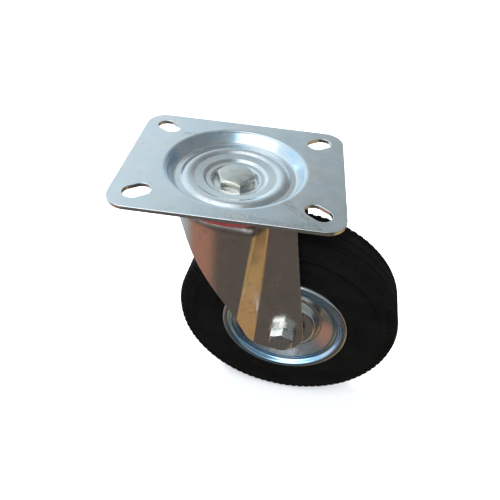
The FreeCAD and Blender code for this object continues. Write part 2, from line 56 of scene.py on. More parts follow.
# ---- Camera ----
# A hand camera held above and in front of the castor, tipped down 42 degrees and
# leaning a little to one side.
SENSOR = 36.0
FOCAL_LENGTH = 34.067
CAMERA_AZIMUTH = math.radians(2.974)
CAMERA_ELEVATION = math.radians(42.045)
CAMERA_ROLL = math.radians(5.531)
CAMERA_OFFSET = Vector((6.499, -40.897, 227.68)) * MM
NEAREST, FURTHEST = 0.01, 50

back = Vector((
    math.sin(CAMERA_AZIMUTH) * math.cos(CAMERA_ELEVATION),
    -math.cos(CAMERA_AZIMUTH) * math.cos(CAMERA_ELEVATION),
    math.sin(CAMERA_ELEVATION),
))
level_right = Vector((0, 0, 1)).cross(back).normalized()
level_up = back.cross(level_right)
right = level_right * math.cos(CAMERA_ROLL) + level_up * math.sin(CAMERA_ROLL)
up = level_up * math.cos(CAMERA_ROLL) - level_right * math.sin(CAMERA_ROLL)
turn = Matrix((right, up, back)).transposed()

camera = bpy.data.objects.new("camera", bpy.data.cameras.new("camera"))
bpy.context.scene.collection.objects.link(camera)
camera.data.sensor_width = SENSOR
camera.data.lens = FOCAL_LENGTH
camera.data.clip_start = NEAREST
camera.data.clip_end = FURTHEST
camera.matrix_world = Matrix.Translation(turn @ CAMERA_OFFSET) @ turn.to_4x4()
bpy.context.scene.camera = camera


# ---- Floor and light ----
# A pale floor sheet, two wide soft lamps and a room around them, brightest at its
# windows and brown low down, that the bright zinc mirrors.
FLOOR_HALF = 4.0
FLOOR_COLOUR = (0.9, 0.9, 0.9, 1)
FLOOR_ROUGHNESS = 0.9

bpy.ops.object.select_all(action="DESELECT")
floor_level = cad_box[0].z
bpy.ops.mesh.primitive_plane_add(size=2 * FLOOR_HALF, location=(0, 0, floor_level))
floor = bpy.context.object
floor.name = "floor"
floor.visible_glossy = False
paint = bpy.data.materials.new("pale_floor")
paint.use_nodes = True
floor_finish = paint.node_tree.nodes["Principled BSDF"].inputs
floor_finish["Base Color"].default_value = FLOOR_COLOUR
floor_finish["Roughness"].default_value = FLOOR_ROUGHNESS
floor.data.materials.append(paint)


def direction(azimuth, elevation):
    """Azimuth 0 is straight behind the object and grows to the right."""
    a = math.radians(azimuth)
    e = math.radians(elevation)
    return Vector((math.sin(a) * math.cos(e), math.cos(a) * math.cos(e), math.sin(e)))


# Soft patches of the room: azimuth, elevation, half width and softness in degrees, colour
ROOM_PATCHES = [
    (-60, 35, 75, 60, (0.80, 0.95, 1.05)),
    (75, 40, 60, 60, (0.20, 0.22, 0.23)),
    (-150, 33, 32, 14, (2.0, 2.08, 2.16)),
    (-60, 72, 16, 14, (1.2, 1.26, 1.3)),
    (100, -46, 36, 12, (0.44, 0.285, 0.125)),
    (-118, -42, 18, 20, (0.37, 0.19, 0.14)),
    (138, -25, 20, 14, (0.03, 0.028, 0.04)),
]
ROOM_ABOVE = (0.42, 0.48, 0.52, 1)
ROOM_BELOW = (0.098, 0.087, 0.078, 1)
BACKGROUND = (1.0, 1.0, 1.0, 1)
HORIZON_BLUR = 0.12

world = bpy.data.worlds.new("room")
bpy.context.scene.world = world
world.use_nodes = True
nodes = world.node_tree.nodes
links = world.node_tree.links
nodes.clear()


def add(tree, kind, **values):
    """A node with its properties and, by socket name or number, its unlinked inputs."""
    node = tree.nodes.new(kind)
    inputs = values.pop("inputs", {})
    for name, value in values.items():
        setattr(node, name, value)
    for socket, value in inputs.items():
        node.inputs[socket].default_value = value
    return node


room = world.node_tree
where = add(room, "ShaderNodeTexCoord")
height = add(room, "ShaderNodeSeparateXYZ")
links.new(where.outputs["Generated"], height.inputs[0])
horizon = add(room, "ShaderNodeMapRange", interpolation_type="SMOOTHSTEP",
              inputs={"From Min": -HORIZON_BLUR, "From Max": HORIZON_BLUR})
links.new(height.outputs["Z"], horizon.inputs["Value"])
shade = add(room, "ShaderNodeMix", data_type="RGBA", inputs={6: ROOM_BELOW, 7: ROOM_ABOVE})
links.new(horizon.outputs["Result"], shade.inputs["Factor"])
colour = shade.outputs[2]
for azimuth, elevation, half_width, softness, tint in ROOM_PATCHES:
    near = add(room, "ShaderNodeVectorMath", operation="DOT_PRODUCT")
    near.inputs[1].default_value = direction(azimuth, elevation)
    links.new(where.outputs["Generated"], near.inputs[0])
    outer = math.radians(half_width + softness / 2)
    inner = math.radians(max(half_width - softness / 2, 0))
    edge = add(room, "ShaderNodeMapRange", interpolation_type="SMOOTHSTEP",
               inputs={"From Min": math.cos(outer), "From Max": math.cos(inner)})
    links.new(near.outputs["Value"], edge.inputs["Value"])
    patch = add(room, "ShaderNodeMix", data_type="RGBA", inputs={7: (*tint, 1)})
    links.new(edge.outputs["Result"], patch.inputs["Factor"])
    links.new(colour, patch.inputs[6])
    colour = patch.outputs[2]
seen = add(room, "ShaderNodeLightPath")
lit = add(room, "ShaderNodeBackground")
plain = add(room, "ShaderNodeBackground", inputs={"Color": BACKGROUND})
choice = add(room, "ShaderNodeMixShader")
links.new(colour, lit.inputs["Color"])
links.new(seen.outputs["Is Camera Ray"], choice.inputs["Fac"])
links.new(lit.outputs[0], choice.inputs[1])
links.new(plain.outputs[0], choice.inputs[2])
links.new(choice.outputs[0], add(room, "ShaderNodeOutputWorld").inputs[0])

# Round a point in the castor: azimuth, elevation, distance and size in metres, power
LAMP_AIM = Vector((20, 0, -80)) * MM
LAMPS = [(-40, 62, 1.2, 0.9, 27.0), (150, 50, 1.3, 1.2, 16.0)]
for i, (azimuth, elevation, distance, size, power) in enumerate(LAMPS):
    lamp_data = bpy.data.lights.new(f"soft_lamp_{i}", "AREA")
    lamp_data.shape = "DISK"
    lamp_data.size = size
    lamp_data.energy = power
    lamp = bpy.data.objects.new(lamp_data.name, lamp_data)
    bpy.context.scene.collection.objects.link(lamp)
    toward = direction(azimuth, elevation)
    lamp.location = toward * distance + LAMP_AIM
    lamp.rotation_euler = toward.to_track_quat("Z", "Y").to_euler()
    lamp.visible_glossy = False

bpy.context.scene.view_settings.view_transform = "Standard"


# ---- Top plate ----
# A 2 mm steel blank with rounded corners and four punched slots. Its middle is drawn
# down in a press to a round race with a sunk seat for the kingpin, and the whole is
# plated with bright zinc and passivated blue.
PLATE_SIZE = (105.0, 85.0)
PLATE_SHEET = 2.0
PLATE_CORNER = 10.0
SLOT_SIZE = (13.0, 9.0)
SLOT_PLACES = [(-40, -30), (40, -30), (40, 30), (-40, 30)]
SWAGE_EDGE = 35.44
SHEAR_EDGE = 0.28
ROUND_STEPS = 128
# The upper face of the drawn middle, from its rim inwards: radius, level, corner radius
PLATE_SECTION = [
    (SWAGE_EDGE, 0, 0), (33.44, 0, 3), (30.24, -5.8, 1.6), (26.94, -5.8, 1.6), (23.52, -4.35, 5.225),
    (20.1, -5.8, 1.6), (15.8, -6.3, 1.5), (14.6, -7.4, 1.0), (11.8, -7.65, 1.3),
    (11.0, -10.4, 1.0), (5.1, -10.4, 0),
]
ARC_STEP = math.radians(11)
CORNER_SEGMENTS = 12
SLOT_SEGMENTS = 14
SLOT_END_FLAT = 0.01
HOLE_MARGIN = 0.2
WELD = 0.002
BEVEL_SEGMENTS = 3


def rounded(corners, steps=None):
    """Points in millimetres along a line whose corners (x, y, radius) are rounded."""
    points = []
    for i, (x, y, radius) in enumerate(corners):
        corner = Vector((x, y))
        if radius <= 0:
            points.append(corner)
            continue
        before = (Vector(corners[i - 1][:2]) - corner).normalized()
        after = (Vector(corners[(i + 1) % len(corners)][:2]) - corner).normalized()
        half = before.angle(after) / 2
        centre = corner + (before + after).normalized() * (radius / math.sin(half))
        arm = corner + before * (radius / math.tan(half)) - centre
        sweep = math.copysign(math.pi - 2 * half, -before.cross(after))
        count = steps or max(2, math.ceil(abs(sweep) / ARC_STEP))
        for k in range(count + 1):
            points.append(centre + Matrix.Rotation(sweep * k / count, 2) @ arm)
    return points


def shifted(corners, distance):
    """The same open line moved to its left, its bends kept concentric."""
    points = [Vector(c[:2]) for c in corners]
    runs = [(b - a).normalized() for a, b in zip(points, points[1:])]
    moved = []
    for i, corner in enumerate(corners):
        a = runs[max(i - 1, 0)].orthogonal()
        b = runs[min(i, len(runs) - 1)].orthogonal()
        spot = points[i] + (a + b) * (distance / (1 + a.dot(b)))
        turn = math.copysign(1, runs[max(i - 1, 0)].cross(runs[min(i, len(runs) - 1)]))
        radius = max(corner[2] - turn * distance, 0) if corner[2] > 0 else 0
        moved.append((spot.x, spot.y, radius))
    return moved


def draw(name, points):
    """A new piece, left in edit mode, that is only a line drawn from point to point."""
    bpy.ops.object.select_all(action="DESELECT")
    bpy.ops.mesh.primitive_plane_add(size=MM, location=(0, 0, 0))
    piece = bpy.context.object
    piece.name = piece.data.name = name
    bpy.ops.object.mode_set(mode="EDIT")
    bpy.ops.mesh.select_mode(type="VERT")
    bpy.ops.mesh.select_all(action="SELECT")
    bpy.ops.mesh.merge(type="CENTER")
    bpy.ops.transform.translate(value=points[0] * MM)
    for a, b in zip(points, points[1:]):
        bpy.ops.mesh.extrude_vertices_move(TRANSFORM_OT_translate={"value": (b - a) * MM})
    return piece


def tidy_skin():
    """Merges what coincides in the mesh being edited and turns its faces outwards."""
    bpy.ops.mesh.select_all(action="SELECT")
    bpy.ops.mesh.remove_doubles(threshold=WELD * MM)
    bpy.ops.mesh.normals_make_consistent(inside=False)
    bpy.ops.object.mode_set(mode="OBJECT")


def spun(name, section, steps=ROUND_STEPS):
    """A skin spun about the Z axis from a section of (radius, level) points."""
    piece = draw(name, [Vector((p.x, 0, p.y)) for p in section])
    bpy.ops.mesh.select_all(action="SELECT")
    bpy.ops.mesh.spin(steps=steps, angle=2 * math.pi, center=(0, 0, 0), axis=(0, 0, 1))
    tidy_skin()
    return piece


def sheet_section(corners, thickness, closed=True):
    """Section of a bent sheet that lies to the left of a line."""
    near = rounded(corners)
    far = rounded(shifted(corners, thickness))
    return near + far[::-1] + (near[:1] if closed else [])


def pick(kind, test):
    """Selects only the faces or edges that pass a test in the mesh being edited."""
    bpy.ops.mesh.select_mode(type=kind)
    bpy.ops.mesh.select_all(action="DESELECT")
    mesh = bpy.context.object.data
    shape = bmesh.from_edit_mesh(mesh)
    for item in shape.faces if kind == "FACE" else shape.edges:
        if test(item):
            item.select_set(True)
    bmesh.update_edit_mesh(mesh)


def only(*chosen):
    """Selects just these objects and makes the first one active."""
    bpy.ops.object.select_all(action="DESELECT")
    for o in chosen:
        o.select_set(True)
    bpy.context.view_layer.objects.active = chosen[0]


def settle(piece):
    """Puts a piece's place and turn into its mesh."""
    only(piece)
    bpy.ops.object.transform_apply(location=True, rotation=True, scale=True)


def carve(piece, tool, operation="DIFFERENCE"):
    """Cuts, joins or intersects a piece with another, which is used up."""
    only(piece)
    carving = piece.modifiers.new("carving", "BOOLEAN")
    carving.object = tool
    carving.operation = operation
    carving.solver = "EXACT"
    bpy.ops.object.modifier_apply(modifier=carving.name)
    bpy.data.objects.remove(tool)


def rod(radius, low, high, vertices=ROUND_STEPS):
    """An upright round bar about the Z axis, to carve with."""
    bpy.ops.object.select_all(action="DESELECT")
    bpy.ops.mesh.primitive_cylinder_add(
        vertices=vertices, radius=radius * MM, depth=(high - low) * MM,
        location=(0, 0, (low + high) / 2 * MM))
    settle(bpy.context.object)
    return bpy.context.object


def block(name, size, height, corner, segments):
    """A flat block round the origin with its upright corners rounded."""
    bpy.ops.object.select_all(action="DESELECT")
    bpy.ops.mesh.primitive_cube_add(size=1, location=(0, 0, 0))
    piece = bpy.context.object
    piece.name = piece.data.name = name
    piece.scale = (size[0] * MM, size[1] * MM, height * MM)
    settle(piece)
    bpy.ops.object.mode_set(mode="EDIT")
    pick("EDGE", lambda e: abs(e.verts[0].co.z - e.verts[1].co.z) > height * MM / 2)
    bpy.ops.mesh.bevel(offset=corner * MM, segments=segments, offset_type="OFFSET")
    bpy.ops.object.mode_set(mode="OBJECT")
    return piece


def soften(piece, width, sharpest=50, smooth=32):
    """Rounds the sharp edges a little and shades the skin smooth between them."""
    only(piece)
    if width:
        rounding = piece.modifiers.new("rounding", "BEVEL")
        rounding.width = width * MM
        rounding.segments = BEVEL_SEGMENTS
        rounding.limit_method = "ANGLE"
        rounding.angle_limit = math.radians(sharpest)
        rounding.use_clamp_overlap = False
        rounding.miter_outer = "MITER_ARC"
        bpy.ops.object.modifier_apply(modifier=rounding.name)
    bpy.ops.object.shade_smooth_by_angle(angle=math.radians(smooth))
    evening = piece.modifiers.new("evening", "WEIGHTED_NORMAL")
    evening.keep_sharp = True
    bpy.ops.object.modifier_apply(modifier=evening.name)


plate = block("plate", PLATE_SIZE, PLATE_SHEET, PLATE_CORNER, CORNER_SEGMENTS)
plate.location.z = -PLATE_SHEET / 2 * MM
settle(plate)
carve(plate, rod(SWAGE_EDGE, -2 * PLATE_SHEET, PLATE_SHEET))
for x, y in SLOT_PLACES:
    end_radius = SLOT_SIZE[1] / 2 - SLOT_END_FLAT
    punch = block("punch", SLOT_SIZE, 5 * PLATE_SHEET, end_radius, SLOT_SEGMENTS)
    punch.rotation_euler.z = math.atan2(y, x)
    punch.location = (x * MM, y * MM, 0)
    settle(punch)
    carve(plate, punch)
bpy.ops.object.mode_set(mode="EDIT")


def in_swage_hole(face):
    """The wall of the hole that the drawn middle fills."""
    within = face.calc_center_median().xy.length < (SWAGE_EDGE + HOLE_MARGIN) * MM
    return abs(face.normal.z) < 0.5 and within


pick("FACE", in_swage_hole)
bpy.ops.mesh.delete(type="FACE")
bpy.ops.object.mode_set(mode="OBJECT")
drawn = spun("drawn", sheet_section(PLATE_SECTION, PLATE_SHEET, False))
only(plate, drawn)
bpy.ops.object.join()
bpy.ops.object.mode_set(mode="EDIT")
tidy_skin()
soften(plate, SHEAR_EDGE)


def group(name, inputs, outputs):
    """A node group with its sockets, and its input and output nodes."""
    tree = bpy.data.node_groups.new(name, "ShaderNodeTree")
    for label, kind, value in inputs:
        tree.interface.new_socket(name=label, in_out="INPUT", socket_type=kind).default_value = value
    for label, kind in outputs:
        tree.interface.new_socket(name=label, in_out="OUTPUT", socket_type=kind)
    return tree, add(tree, "NodeGroupInput"), add(tree, "NodeGroupOutput")


def noise(tree, size, detail, stretch=(1, 1, 1)):
    """Clouds a given number of millimetres across, from 0 to 1, fixed to the piece."""
    coordinate = add(tree, "ShaderNodeTexCoord")
    placing = add(tree, "ShaderNodeMapping", inputs={"Scale": stretch})
    clouds = add(tree, "ShaderNodeTexNoise", inputs={"Scale": 1 / (size * MM), "Detail": detail})
    tree.links.new(coordinate.outputs["Object"], placing.inputs["Vector"])
    tree.links.new(placing.outputs[0], clouds.inputs["Vector"])
    return clouds.outputs["Fac"]


def ranged(tree, value, low, high, to_low=0.0, to_high=1.0):
    """A value mapped softly from one range to another."""
    mapping = add(tree, "ShaderNodeMapRange", interpolation_type="SMOOTHSTEP", inputs={
        "From Min": low, "From Max": high, "To Min": to_low, "To Max": to_high})
    tree.links.new(value, mapping.inputs["Value"])
    return mapping.outputs["Result"]


def feed(tree, socket, value):
    """Links another node's output to a socket, or sets the socket to a plain value."""
    if isinstance(value, bpy.types.NodeSocket):
        tree.links.new(value, socket)
    else:
        socket.default_value = value


def mixed(tree, factor, first, second, kind="RGBA"):
    """One colour, or with kind FLOAT one value, blended into another."""
    mix = add(tree, "ShaderNodeMix", data_type=kind)
    a, b, result = {"RGBA": (6, 7, 2), "FLOAT": (2, 3, 0)}[kind]
    for number, value in ((0, factor), (a, first), (b, second)):
        feed(tree, mix.inputs[number], value)
    return mix.outputs[result]


def times(tree, first, second, operation="MULTIPLY"):
    """Two values multiplied, or joined by another operation."""
    node = add(tree, "ShaderNodeMath", operation=operation)
    feed(tree, node.inputs[0], first)
    feed(tree, node.inputs[1], second)
    return node.outputs[0]


def ring_mask(tree, centre, turn, flat, low, high, soft):
    """1 between two radii in millimetres round an axis; flat has a 0 along that axis."""
    coordinate = add(tree, "ShaderNodeTexCoord")
    centred = add(tree, "ShaderNodeMapping", vector_type="TEXTURE", inputs={
        "Location": centre, "Rotation": (0, 0, turn)})
    flattened = add(tree, "ShaderNodeVectorMath", operation="MULTIPLY", inputs={1: flat})
    reach = add(tree, "ShaderNodeVectorMath", operation="LENGTH")
    tree.links.new(coordinate.outputs["Object"], centred.inputs["Vector"])
    tree.links.new(centred.outputs[0], flattened.inputs[0])
    tree.links.new(flattened.outputs[0], reach.inputs[0])
    rise = ranged(tree, reach.outputs["Value"], (low - soft) * MM, (low + soft) * MM)
    fall = ranged(tree, reach.outputs["Value"], (high - soft) * MM, (high + soft) * MM, 1, 0)
    return times(tree, rise, fall)


def overlaid(tree, socket, mask, value, kind="RGBA"):
    """Blends a value over whatever feeds a shader's socket."""
    below = socket.links[0].from_socket
    tree.links.new(mixed(tree, mask, below, value, kind), socket)


COLOUR, NUMBER = "NodeSocketColor", "NodeSocketFloat"

# Plating: cloudy colour from the bath, stains, a satin that comes and goes, and the
# ripple and rolling lines of the steel below. Sizes are in millimetres.
CLOUD_SIZE = 22
STAIN_SIZE = 7
STAIN_DULLING = 0.5
SATIN_SIZE = 3.5
SATIN_SPREAD = (0.8, 1.25)
RIPPLE_SIZE, RIPPLE_SHARE = 2.6, 0.7
ROLLING_SIZE, ROLLING_SHARE = 0.55, 0.3
ROLLING_STRETCH = (0.12, 1, 0.3)

plating, given, made = group(
    "bright_plating",
    [("Colour", COLOUR, (0.8, 0.8, 0.8, 1)), ("Second colour", COLOUR, (0.7, 0.7, 0.7, 1)),
     ("Stain colour", COLOUR, (0.4, 0.4, 0.4, 1)), ("Stains", NUMBER, 0.3), ("Roughness", NUMBER, 0.2)],
    [("Colour", COLOUR), ("Roughness", NUMBER), ("Height", NUMBER)])
clouds = ranged(plating, noise(plating, CLOUD_SIZE, 3), 0.38, 0.62)
bath = mixed(plating, clouds, given.outputs["Colour"], given.outputs["Second colour"])
blots = ranged(plating, noise(plating, STAIN_SIZE, 5), 0.56, 0.74)
stains = times(plating, blots, given.outputs["Stains"])
stained = mixed(plating, stains, bath, given.outputs["Stain colour"])
satin = ranged(plating, noise(plating, SATIN_SIZE, 4), 0.3, 0.7, *SATIN_SPREAD)
dulled = times(plating, times(plating, stains, STAIN_DULLING), 1.0, "ADD")
gloss = times(plating, times(plating, given.outputs["Roughness"], satin), dulled)
ripple = times(plating, noise(plating, RIPPLE_SIZE, 2), RIPPLE_SHARE)
rolled = times(plating, noise(plating, ROLLING_SIZE, 3, ROLLING_STRETCH), ROLLING_SHARE)
plating.links.new(stained, made.inputs["Colour"])
plating.links.new(gloss, made.inputs["Roughness"])
plating.links.new(times(plating, ripple, rolled, "ADD"), made.inputs["Height"])

# Edge wear: rubbed patches along the convex edges.
WEAR_PATCH_SIZE = 1.8
WEAR_SHARPNESS = (0.54, 0.62)

wear, given, made = group("edge_wear", [("Amount", NUMBER, 0.5)], [("Mask", NUMBER)])
convex = add(wear, "ShaderNodeNewGeometry").outputs["Pointiness"]
edges = ranged(wear, convex, *WEAR_SHARPNESS)
patches = ranged(wear, noise(wear, WEAR_PATCH_SIZE, 4), 0.35, 0.6)
wear.links.new(times(wear, times(wear, edges, patches), given.outputs["Amount"]), made.inputs["Mask"])

# Dust: drifts and specks, thickest on what faces up.
DRIFT_SIZE = 9
SPECK_SIZE = 0.6
DUST_ON_SIDES = 0.25

dust, given, made = group("dust", [("Amount", NUMBER, 0.5)], [("Mask", NUMBER)])
facing = add(dust, "ShaderNodeSeparateXYZ")
dust.links.new(add(dust, "ShaderNodeTexCoord").outputs["Normal"], facing.inputs[0])
upward = ranged(dust, facing.outputs["Z"], -0.2, 0.9, DUST_ON_SIDES, 1)
drifts = ranged(dust, noise(dust, DRIFT_SIZE, 4), 0.35, 0.75)
specks = ranged(dust, noise(dust, SPECK_SIZE, 2), 0.5, 0.75)
lying = times(dust, upward, mixed(dust, 0.5, drifts, specks, "FLOAT"))
dust.links.new(times(dust, lying, given.outputs["Amount"]), made.inputs["Mask"])


def use(tree, shared, **values):
    """A shared node group placed in a material with its own values."""
    node = add(tree, "ShaderNodeGroup", node_tree=shared)
    for label, value in values.items():
        node.inputs[label.replace("_", " ")].default_value = value
    return node


def fresh(name, **values):
    """A new material, its shader and its node tree."""
    material = bpy.data.materials.new(name)
    material.use_nodes = True
    shader = material.node_tree.nodes["Principled BSDF"]
    for label, value in values.items():
        shader.inputs[label.replace("_", " ")].default_value = value
    return material, shader, material.node_tree


def raised(tree, shader, height, depth):
    """Makes a height from 0 to 1 a relief this many millimetres deep."""
    bump = add(tree, "ShaderNodeBump", inputs={"Strength": 1.0, "Distance": depth * MM})
    tree.links.new(height, bump.inputs["Height"])
    tree.links.new(bump.outputs[0], shader.inputs["Normal"])


DUST_COLOUR = (0.30, 0.27, 0.23, 1)
DUST_ROUGHNESS = 0.8
STEEL_COLOUR = (0.42, 0.40, 0.37, 1)
STEEL_ROUGHNESS = 0.42


def plated(name, colour, second, stain, stains, roughness, worn, dusty, ripple):
    """Bright zinc plating with clouds, stains, worn edges, dust and a ripple this deep."""
    material, shader, tree = fresh(name, Metallic=1.0)
    coat = use(tree, plating, Colour=colour, Second_colour=second, Stain_colour=stain,
               Stains=stains, Roughness=roughness)
    rubbed = use(tree, wear, Amount=worn).outputs["Mask"]
    settled = use(tree, dust, Amount=dusty).outputs["Mask"]
    bare = mixed(tree, rubbed, coat.outputs["Colour"], STEEL_COLOUR)
    tree.links.new(mixed(tree, settled, bare, DUST_COLOUR), shader.inputs["Base Color"])
    scuffed = mixed(tree, rubbed, coat.outputs["Roughness"], STEEL_ROUGHNESS, "FLOAT")
    tree.links.new(mixed(tree, settled, scuffed, DUST_ROUGHNESS, "FLOAT"), shader.inputs["Roughness"])
    tree.links.new(times(tree, 1.0, settled, "SUBTRACT"), shader.inputs["Metallic"])
    raised(tree, shader, coat.outputs["Height"], ripple)
    return material


def finish(material, *pieces):
    """Gives pieces, or CAD nodes by name, a finish."""
    for piece in pieces:
        if isinstance(piece, str):
            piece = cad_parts[piece]
        piece.data.materials.clear()
        piece.data.materials.append(material)


plate_zinc = plated(
    "plate_zinc", colour=(0.80, 0.86, 0.88, 1), second=(0.84, 0.85, 0.84, 1), stain=(0.62, 0.66, 0.70, 1),
    stains=0.35, roughness=0.2, worn=0.5, dusty=0.05, ripple=0.012)
# A bluer ring over the drawn slopes is a painted reflection of a blue sky, laid over the blue
# passivation.
RING_BLUE_REFLECTION = (0.52, 0.72, 0.90, 1)
RING_REFLECTION_RADII = (30.6, 34.2, 1.0)
RING_REFLECTION_PATCH_SIZE = 16
tree = plate_zinc.node_tree
blue_reflection = ring_mask(tree, (0, 0, 0), 0, (1, 1, 0), *RING_REFLECTION_RADII)
uneven = ranged(tree, noise(tree, RING_REFLECTION_PATCH_SIZE, 2), 0.4, 0.6, 0.25, 0.95)
shader = tree.nodes["Principled BSDF"]
overlaid(tree, shader.inputs["Base Color"], times(tree, blue_reflection, uneven), RING_BLUE_REFLECTION)
finish(plate_zinc, plate)
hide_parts("top_plate")
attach(plate, "plate")


# ---- Kingpin bolt ----
# A zinc-plated M10 steel bolt, cold headed and with a rolled thread, whose head sits in
# the plate's sunk seat and whose nut pulls the lower race cup up against it.
KINGPIN_FLATS = 17.0
KINGPIN_HEAD = 6.0
KINGPIN_RADIUS = 5.0
KINGPIN_SEAT = -10.4
KINGPIN_END = -28.4
KINGPIN_TURN = math.radians(-10)
KINGPIN_PITCH = 1.5
# The thread's depth and half widths are shares of its pitch
THREAD_DEPTH = 0.61
THREAD_ROOT, THREAD_MOUTH = 0.06, 0.46
THREAD_SHOWN = 3.0
THREAD_STEPS = 32
THREAD_CLEARANCE = 0.15
BOLT_STEPS = 64
HEAD_OVERLAP = 0.5
FACE_SHARE = 0.9
HEX_CHAMFER = math.tan(math.radians(30))
HEX_TURN = math.radians(30)
END_CHAMFER = 0.9
HEX_EDGE = 0.22


def hexagon_head(flats, height):
    """A bolt head standing on Z = 0, its top corners turned off at 30 degrees."""
    corner = flats / math.sqrt(3)
    head = rod(corner, 0, height, 6)
    head.rotation_euler.z = HEX_TURN
    settle(head)
    face = FACE_SHARE * flats / 2
    beyond = corner + 1
    drop = (beyond - face) * HEX_CHAMFER
    corners = [(0, -1), (beyond, -1), (beyond, height - drop), (face, height), (0, height)]
    carve(head, spun("turning", [Vector(c) for c in corners + corners[:1]]), "INTERSECT")
    return head


def threaded_bolt(name, radius, flats, head_height, length, pitch):
    """A bolt with its head above Z = 0, its shank below and a thread at the shank's end."""
    tip = radius - END_CHAMFER
    corners = [(0, HEAD_OVERLAP), (radius, HEAD_OVERLAP), (radius, END_CHAMFER - length),
               (tip, -length), (0, -length)]
    bolt = spun(name, [Vector(c) for c in corners + corners[:1]], BOLT_STEPS)
    root, mouth = radius - THREAD_DEPTH * pitch, radius + THREAD_CLEARANCE
    groove = [(root, -THREAD_ROOT), (root, THREAD_ROOT), (mouth, THREAD_MOUTH), (mouth, -THREAD_MOUTH)]
    start = -length - pitch
    tooth = [Vector((r, 0, start + share * pitch)) for r, share in groove + groove[:1]]
    tool = draw("thread_tool", tooth)
    bpy.ops.mesh.select_all(action="SELECT")
    bpy.ops.mesh.remove_doubles(threshold=WELD * MM)
    bpy.ops.object.mode_set(mode="OBJECT")
    turns = round(THREAD_SHOWN / pitch) + 1
    winding = tool.modifiers.new("winding", "SCREW")
    winding.angle = 2 * math.pi * turns
    winding.screw_offset = pitch * turns * MM
    winding.steps = winding.render_steps = THREAD_STEPS * turns
    bpy.ops.object.modifier_apply(modifier=winding.name)
    bpy.ops.object.mode_set(mode="EDIT")
    bpy.ops.mesh.select_all(action="SELECT")
    bpy.ops.mesh.fill_holes(sides=4)
    tidy_skin()
    carve(bolt, tool)
    head = hexagon_head(flats, head_height)
    soften(head, HEX_EDGE)
    carve(bolt, head, "UNION")
    return bolt


kingpin = threaded_bolt("kingpin", KINGPIN_RADIUS, KINGPIN_FLATS, KINGPIN_HEAD,
                        KINGPIN_SEAT - KINGPIN_END, KINGPIN_PITCH)
kingpin.rotation_euler.z = KINGPIN_TURN
kingpin.location.z = KINGPIN_SEAT * MM
settle(kingpin)
soften(kingpin, 0)
bolt_zinc = plated(
    "bolt_zinc", colour=(0.70, 0.73, 0.73, 1), second=(0.75, 0.74, 0.68, 1), stain=(0.46, 0.45, 0.42, 1),
    stains=0.5, roughness=0.24, worn=0.7, dusty=0.06, ripple=0.010)
finish(bolt_zinc, kingpin)
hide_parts("kingpin_bolt")
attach(kingpin, "plate")


# ---- Kingpin nut, washers and lower race cup ----
# A plain washer, a spring washer and an M10 nut, all zinc plated, draw a cup pressed
# from steel sheet, plated too, up under the lower balls.
cup_zinc = plated(
    "cup_zinc", colour=(0.72, 0.75, 0.76, 1), second=(0.70, 0.68, 0.62, 1), stain=(0.40, 0.38, 0.34, 1),
    stains=0.5, roughness=0.26, worn=0.4, dusty=0.10, ripple=0.012)
finish(bolt_zinc, "kingpin_washer", "kingpin_spring_washer", "kingpin_nut")
finish(cup_zinc, "lower_race_cup")


# ---- Balls ----
# Two full rows of ground and hardened steel balls, packed with amber grease that
# clings to them in streaks.
BALL_STEEL = (0.62, 0.62, 0.61, 1)
GREASE = (0.20, 0.12, 0.04, 1)
GREASE_AMOUNT = 0.55
GREASE_ROUGHNESS = 0.45
STREAK_SIZE = 2.4
GROUND_ROUGHNESS = 0.1


def greased(name, metal, roughness):
    """Bright bearing steel under streaks of grease."""
    material, shader, tree = fresh(name, Metallic=1.0)
    streaks = times(tree, ranged(tree, noise(tree, STREAK_SIZE, 3), 0.46, 0.62), GREASE_AMOUNT)
    tree.links.new(mixed(tree, streaks, metal, GREASE), shader.inputs["Base Color"])
    tree.links.new(mixed(tree, streaks, roughness, GREASE_ROUGHNESS, "FLOAT"), shader.inputs["Roughness"])
    tree.links.new(streaks, shader.inputs["Coat Weight"])
    return material


bearing_steel = greased("bearing_steel", BALL_STEEL, GROUND_ROUGHNESS)
finish(bearing_steel, "upper_race_balls", "lower_race_balls")


# ---- Fork ----
# One pressing of 2.5 mm steel: a round crown with two ball races pressed into it, and
# two legs stepped in behind it to flat panels that hold the axle. Bright zinc plated.
FORK_SHEET = 2.5
CROWN_LEVEL = -12.55
CROWN_RADIUS = 30.54
CROWN_SHOULDER = 3.4
CROWN_BAND = 4.2
RACE_EDGE = 26.3
LEG_OUTER = 20.5
LEG_LOW_HALF = 24.0
RAMP_HIGH = (16.5, 21.5)
RAMP_LOW = (7.5, 20.5)
RAMP_ROUND = 3.4
PLAN_BEHIND = 103.0
PLAN_LOW_LEVEL = -123.9
PLAN_STEPS = 12
SHOULDER_STEPS = 6
LEG_CUTS = 11
NOSE_SHARE = 0.999
SIDE_REACH = 61
# The legs from the side: X, Z, corner radius
LEG_SIDE = [
    (-SIDE_REACH, -10, 0), (-SIDE_REACH, -18.05, 0), (-24, -18.05, 4), (-15.5, -39.05, 50), (9, -79, 50),
    (19.4, -108.2, 14.5), (51.5, -108.2, 14.5), (34, -12.55, 0), (34, -10, 0),
]
# The crown's two races, from the rim inwards: radius, level, corner radius
CROWN_RACES = [
    (27.2, -12.55, 0), (25.83, -12.55, 0.5), (23.52, -13.53, 3.22), (21.21, -12.55, 0.5),
    (21.01, -12.55, 0.5), (17.89, -11.225, 4.93), (14.76, -12.55, 0.5), (14.56, -12.55, 0),
]
AXLE_HOLE = 4.1
HOLE_STEPS = 48
AXLE_OFFSET = (36.6, 0, -92.5)
REST_SWIVEL = math.radians(-5.3)
FORK_EDGE = 0.3


